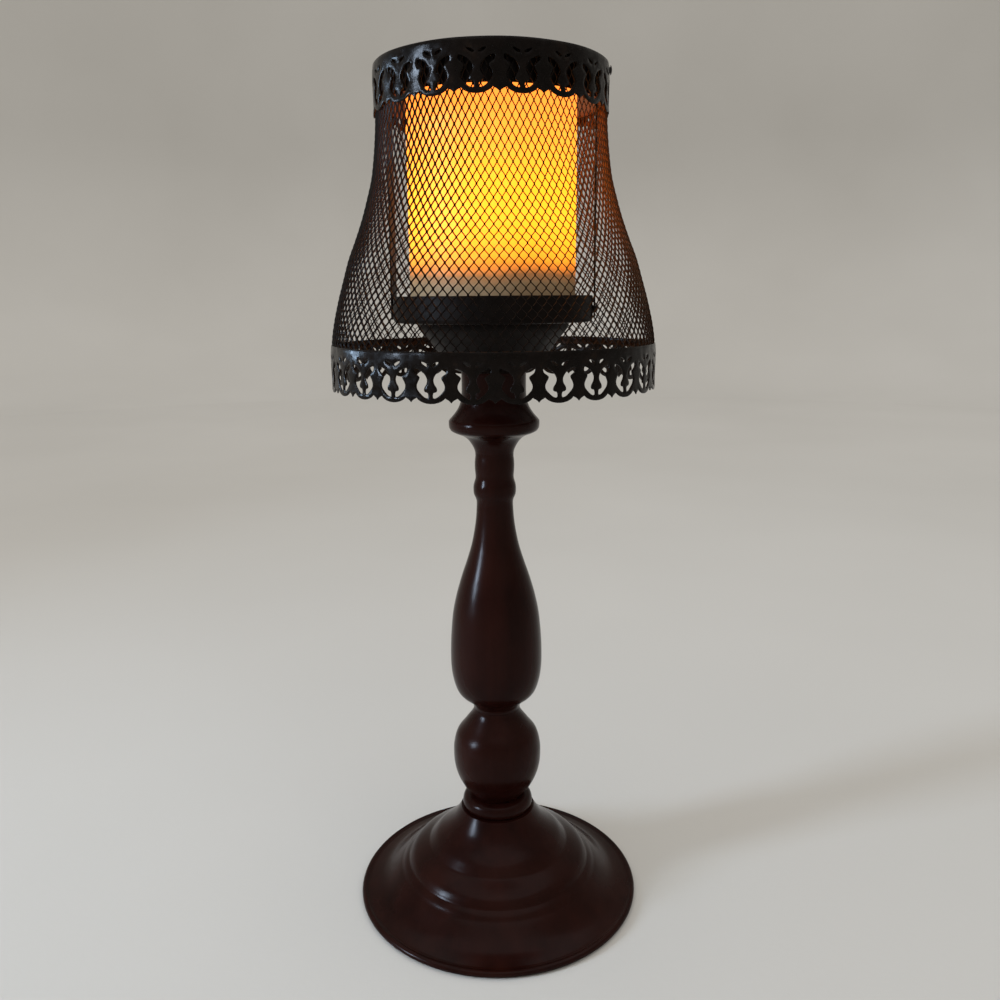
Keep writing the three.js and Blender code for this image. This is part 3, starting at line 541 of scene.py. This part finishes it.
def expanded_mesh():
    """Staggered rows of six-cornered gaps on the bell, with a bond between each gap and the next in its row."""
    line = flow(BELL, 0.25)
    along = [0.0]
    for (r0, z0), (r1, z1) in zip(line, line[1:]):
        height = TALL - (TALL - SHORT) * min(1.0, max(0.0, (r1 - NARROW) / (WIDE - NARROW)))
        along.append(along[-1] + math.hypot(r1 - r0, z1 - z0) * 2 / height)
    rows = round(along[-1])
    along = [a * rows / along[-1] for a in along]

    def spot(row):
        """Radius and height at a row, which may be between two."""
        low, high = 0, len(along) - 1
        while high - low > 1:
            middle = (low + high) // 2
            low, high = (middle, high) if along[middle] <= row else (low, middle)
        t = (row - along[low]) / (along[high] - along[low])
        (r0, z0), (r1, z1) = line[low], line[high]
        return r0 + (r1 - r0) * t, z0 + (z1 - z0) * t

    half = [math.dist(spot(max(k - 0.5, 0)), spot(min(k + 0.5, rows))) for k in range(rows + 1)]
    vertices, numbers = [], {}

    def at(column, row, shift=0.0):
        """Number of the vertex there on the outer face. Its twin on the inner face is the next."""
        key = (round(column % COLUMNS, 3) % COLUMNS, round(row, 3))
        if key not in numbers:
            r, z = spot(min(max(row, 0), rows))
            angle = 2 * math.pi * column / COLUMNS - math.pi / 2
            numbers[key] = len(vertices)
            for depth in (0.0, SHEET):
                radius = r - TILT + shift - depth
                vertices.append((radius * math.cos(angle), radius * math.sin(angle), z))
        return numbers[key]

    def gap(column, k):
        """Corners of the gap in row k: right low, right high, top, left high, left low, bottom."""
        if k <= 0 or k >= rows:
            edge = 0 if k <= 0 else rows
            right, left, middle = at(column + 0.5, edge), at(column - 0.5, edge), at(column, edge)
            return [right, right, middle, left, left, middle]
        width = 2 * math.pi * spot(k)[0] / COLUMNS
        dx, dy, ay = 0.5 - BOND / width, SIDE / half[k], 1 - APEX / half[k]
        return [at(column + dx, k - dy, TILT), at(column + dx, k + dy, TILT), at(column, k + ay),
                at(column - dx, k + dy, -TILT), at(column - dx, k - dy, -TILT), at(column, k - ay)]

    faces = []

    def both(*corners):
        """The same face on the sheet's two sides."""
        kept = [c for i, c in enumerate(corners) if c != corners[i - 1]]
        if len(set(kept)) > 2:
            faces.append(kept)
            faces.append([c + 1 for c in reversed(kept)])

    for k in range(rows):
        for j in range(COLUMNS):
            column = j + 0.5 * (k % 2)
            here = gap(column, k)
            upper_right = gap(column + 0.5, k + 1)
            upper_left = gap(column - 0.5, k + 1)
            both(here[1], upper_right[5], upper_right[4], here[2])
            both(here[2], upper_left[0], upper_left[5], here[3])
            if k:
                beside = gap(column + 1, k)
                lower = gap(column + 0.5, k - 1)
                both(here[0], lower[2], beside[4], beside[3], upper_right[5], here[1])
                faces += [[a, b, b + 1, a + 1] for a, b in zip(here, here[1:] + here[:1])]
    for half_column in range(2 * COLUMNS):
        for edge in (0, rows):
            a, b = at(half_column / 2, edge), at((half_column + 1) / 2, edge)
            faces.append([a, b, b + 1, a + 1])
    make("expanded_mesh", vertices, faces, "stand", MESH_BRONZE, ["shade_mesh"], 25)


# Support ring, straps and rivets

def support_ring():
    """The plain ring inside the mesh's top, with rounded edges."""
    low, high = 386.3, 401.6
    middle, half = 48.14, 0.38  # radius of the wall's middle, and half its thickness
    inner, outer, start = middle - half, middle + half, 0.4
    outline = (arc((middle, low + half), half, -180, 0, 6) + flow([(outer, low + start), (outer, high - start)], 4)
               + arc((middle, high - half), half, 0, 180, 6) + flow([(inner, high - start), (inner, low + start)], 4))
    kept = [p for i, p in enumerate(outline) if math.dist(p, outline[i - 1]) > 0.01]
    vertices, faces = turn(kept)
    make("support_ring_fine", vertices, faces, "stand", MESH_BRONZE, ["support_ring"])


def strap(side, node):
    """A strip with rounded edges along a bent line, curved a little across its width."""
    line = flow([(46.5, 295.2), (46.5, 303.0), (46.5, 306.0), (46.45, 312.0), (46.4, 330.0), (46.3, 365.0),
                 (46.22, 386.0), (46.22, 401.2)], 2.0)
    half, flat = 0.4, 5.1  # half the strip's thickness, and half its width without the rounding
    section = []
    for cx, start in ((flat, -90), (-flat, 90)):
        section += [(cx + half * math.cos(math.radians(start + a)), half * math.sin(math.radians(start + a)))
                    for a in range(0, 181, 30)]
    full = []
    for (x0, d0), (x1, d1) in zip(section, section[1:] + section[:1]):
        count = max(1, round(abs(x1 - x0) / 1.0))
        full += [(x0 + (x1 - x0) * k / count, d0 + (d1 - d0) * k / count) for k in range(count)]
    vertices, faces = [], []
    for i, (x, z) in enumerate(line):
        curl = min(1.0, max(0.0, (z - 306) / 30)) * 0.27
        end = 1.0 if 0 < i < len(line) - 1 else 0.93
        for across, depth in full:
            hollow = curl * (across / (flat + half)) ** 2
            vertices.append((side * (x + depth * end - hollow), side * across * end, z))
    count = len(full)
    for i in range(len(line) - 1):
        for k in range(count):
            n = (k + 1) % count
            faces.append([i * count + k, i * count + n, (i + 1) * count + n, (i + 1) * count + k])
    faces.append(list(range(count))[::-1])
    faces.append([(len(line) - 1) * count + k for k in range(count)])
    make(f"{node}_fine", vertices, faces, "stand", STRAP_BRONZE, [node])


def rivet(node, side, start, end, height):
    """A rivet along X with two domed heads."""
    head, dome, shank = 2.0, 0.8, 1.3
    outline = [(0, start - dome)] + [(head * math.sin(math.radians(a)), start - dome * math.cos(math.radians(a)))
                                     for a in range(15, 91, 15)]
    outline += [(shank, start), (shank, end)]
    outline += [(head * math.sin(math.radians(a)), end + dome * math.cos(math.radians(a)))
                for a in range(90, 14, -15)] + [(0, end + dome)]
    vertices, faces = turn(outline, 24)
    vertices = [(side * z, side * y, height + x) for x, y, z in vertices]
    make(f"{node}_fine", vertices, faces, "stand", BLACK_STEEL, [node])


# Candle

def candle():
    """The wax: a soft-edged shell, open below, with a melted hollow in its top and an uneven rim."""
    roof, inner, bevel = CANDLE_TOP - 14.0, 32.6, 5.5
    soft, blend = 12, 9  # height of the uneven part, and that in which it grows to its full strength

    def melted(angle, r, z):
        if z < CANDLE_TOP - soft or r < 1:
            return r, z
        sag = 0.45 * math.sin(2 * angle + 0.6) + 0.3 * math.sin(5 * angle + 2.0) + 0.15 * math.sin(9 * angle) - 0.6
        share = min(1.0, (z - CANDLE_TOP + soft) / blend)
        rim = math.exp(-((r - 34.5) / 4.5) ** 2)
        return r - 0.12 * share * (1 + math.sin(3 * angle)), z + sag * share * rim

    outside = flow([(34.0, CANDLE_BASE, 1), (37.4, CANDLE_BASE), (37.8, CANDLE_BASE + 0.6), (37.8, CANDLE_BASE + 3),
                    (37.7, 384.0), (37.6, 386.4), (37.1, 388.2), (36.2, 389.1), (34.6, 389.25), (32.9, 388.8),
                    (31.2, 387.2), (29.2, 385.0), (26.0, 383.2), (20.0, 382.0), (12.0, 381.5), (5.0, 381.35),
                    (0.0, 381.3)], 1.6)
    outline = outside + [(0.0, roof), (inner - bevel, roof), (inner, roof - bevel),
                         (inner, CANDLE_BASE + 0.4), (inner + 0.5, CANDLE_BASE)]
    vertices, faces = turn(outline, warp=melted)
    make("wax_fine", vertices, faces, "candle", WAX, ["candle_wax"])


# Stage, camera and light

def stage():
    """A round pale floor, and a wall that curves up all round it. The wall is for the eye: light passes it."""
    paint = backdrop_paint()
    sides, edge, bend, top = 96, 2.4, 0.9, 4.4
    rows = [(edge + bend * math.sin(math.radians(a)), bend - bend * math.cos(math.radians(a)))
            for a in range(0, 91, 6)] + [(edge + bend, top)]
    vertices = [(r * math.cos(2 * math.pi * k / sides), r * math.sin(2 * math.pi * k / sides), z)
                for r, z in rows for k in range(sides)]
    rings = [(i * sides + k, i * sides + (k + 1) % sides, (i + 1) * sides + (k + 1) % sides, (i + 1) * sides + k)
             for i in range(len(rows) - 1) for k in range(sides)]
    for name, points, faces in (("floor", vertices[:sides], [range(sides)]), ("wall", vertices, rings)):
        data = bpy.data.meshes.new(name)
        data.from_pydata(points, [], faces)
        data.shade_smooth()
        data.materials.append(paint)
        made = bpy.data.objects.new(name, data)
        bpy.context.scene.collection.objects.link(made)
        if name == "wall":
            made.visible_diffuse = made.visible_shadow = False


def camera():
    """The photograph's camera, as fitted to the rings that it shows."""
    pitch, yaw, roll = 12.84, 0.34, 0.456  # degrees down, to the left and in the picture's plane
    around, away, up = math.radians(6.25), 0.4196, 0.3048  # its place round the lamp
    data = bpy.data.cameras.new("camera")
    data.sensor_fit = "HORIZONTAL"
    data.sensor_width = 36
    data.lens = 31.98
    data.clip_start = 0.01
    eye = bpy.data.objects.new("camera", data)
    bpy.context.scene.collection.objects.link(eye)
    turn_by = (Matrix.Rotation(around - math.radians(yaw), 4, "Z")
               @ Matrix.Rotation(math.radians(90 - pitch), 4, "X")
               @ Matrix.Rotation(math.radians(-roll), 4, "Z"))
    eye.matrix_world = Matrix.Translation((away * math.sin(around), -away * math.cos(around), up)) @ turn_by
    bpy.context.scene.camera = eye


def lamp(name, place, aim, size, power, color=(1, 1, 1), spread=180):
    """A soft rectangular light at a place, turned to what it aims at."""
    data = bpy.data.lights.new(name, "AREA")
    data.shape = "RECTANGLE"
    data.size, data.size_y = size
    data.energy = power
    data.color = color
    data.spread = math.radians(spread)
    made = bpy.data.objects.new(name, data)
    bpy.context.scene.collection.objects.link(made)
    way = Vector(aim) - Vector(place)
    made.matrix_world = Matrix.Translation(place) @ way.to_track_quat("-Z", "Y").to_matrix().to_4x4()
    return made


def lights():
    """Soft light from above and from the right, a cool window on the left, and a glint for the two bands."""
    lamp("window", (-1.32, -0.68, 0.6), (0, 0, 0.2), (0.22, 0.5), 3.3, (0.66, 0.8, 1.0), 70)
    glint = lamp("band_glint", (-1.43, 0.25, 0.5), (0, 0, 0.3), (0.22, 0.36), 7, (0.55, 0.75, 1.0))
    bands = bpy.data.collections.new("bands")
    for name in ("bottom_band_fine", "top_band_fine"):
        bands.objects.link(bpy.data.objects[name])
    glint.light_linking.receiver_collection = bands
    lamp("overhead", (0.1, -0.2, 4.5), (0.1, -0.2, 0), (9.0, 9.0), 166)
    lamp("fill", (3.8, -3.8, 2.6), (0, 0, 0.2), (4.4, 4.4), 32, (1.0, 0.98, 0.95))
    world = bpy.data.worlds.new("world")
    bpy.context.scene.world = world
    world.use_nodes = True
    background = world.node_tree.nodes["Background"]
    background.inputs["Color"].default_value = (0.72, 0.70, 0.67, 1)
    background.inputs["Strength"].default_value = 0.6
    bpy.context.scene.view_settings.view_transform = "Standard"


# Carried-over nodes

def carried():
    """Finishes for the nodes that keep their CAD shape."""
    finishes = {
        STEEL: ["tie_rod", "lower_washer", "lower_nut", "upper_washer", "upper_nut", "foot_cover_plate",
                "upper_contact_left", "upper_contact_right", "door_contact"],
        cast_iron(): ["foot_weight"],
        felt(): ["felt_pad"],
        moulded("housing_plastic", (0.62, 0.56, 0.44), 0.42): ["candle_housing", "battery_door"],
        moulded("black_plastic", (0.012, 0.012, 0.012), 0.38): ["switch_body", "switch_slider"],
        metal("cell_wrap", (0.5, 0.32, 0.08), 0.3): ["battery_left", "battery_right"],
        moulded("board_green", (0.012, 0.09, 0.03), 0.35): ["circuit_board"],
        moulded("diode_lens", (0.8, 0.66, 0.36), 0.16): ["light_diode"],
    }
    for material, names in finishes.items():
        for name in names:
            data = nodes[name].data
            data.materials.clear()
            data.materials.append(material)


camera()
foot()
column()
pan()
pierced_band("bottom_band_fine", radius=74.72, base=SHADE_BASE, motifs=27, wall=0.6, node="shade_bottom_band")
pierced_band("top_band_fine", radius=51.6, base=SHADE_TOP - BAND_HEIGHT, motifs=18, wall=0.6, node="shade_top_band")
expanded_mesh()
support_ring()
for side, hand in ((1, "right"), (-1, "left")):
    strap(side, f"strap_{hand}")
    rivet(f"pan_rivet_{hand}", side, start=44.2, end=47.3, height=299.8)
    rivet(f"shade_rivet_{hand}", side, start=45.5, end=51.75, height=399.9)
candle()
carried()
stage()
lights()
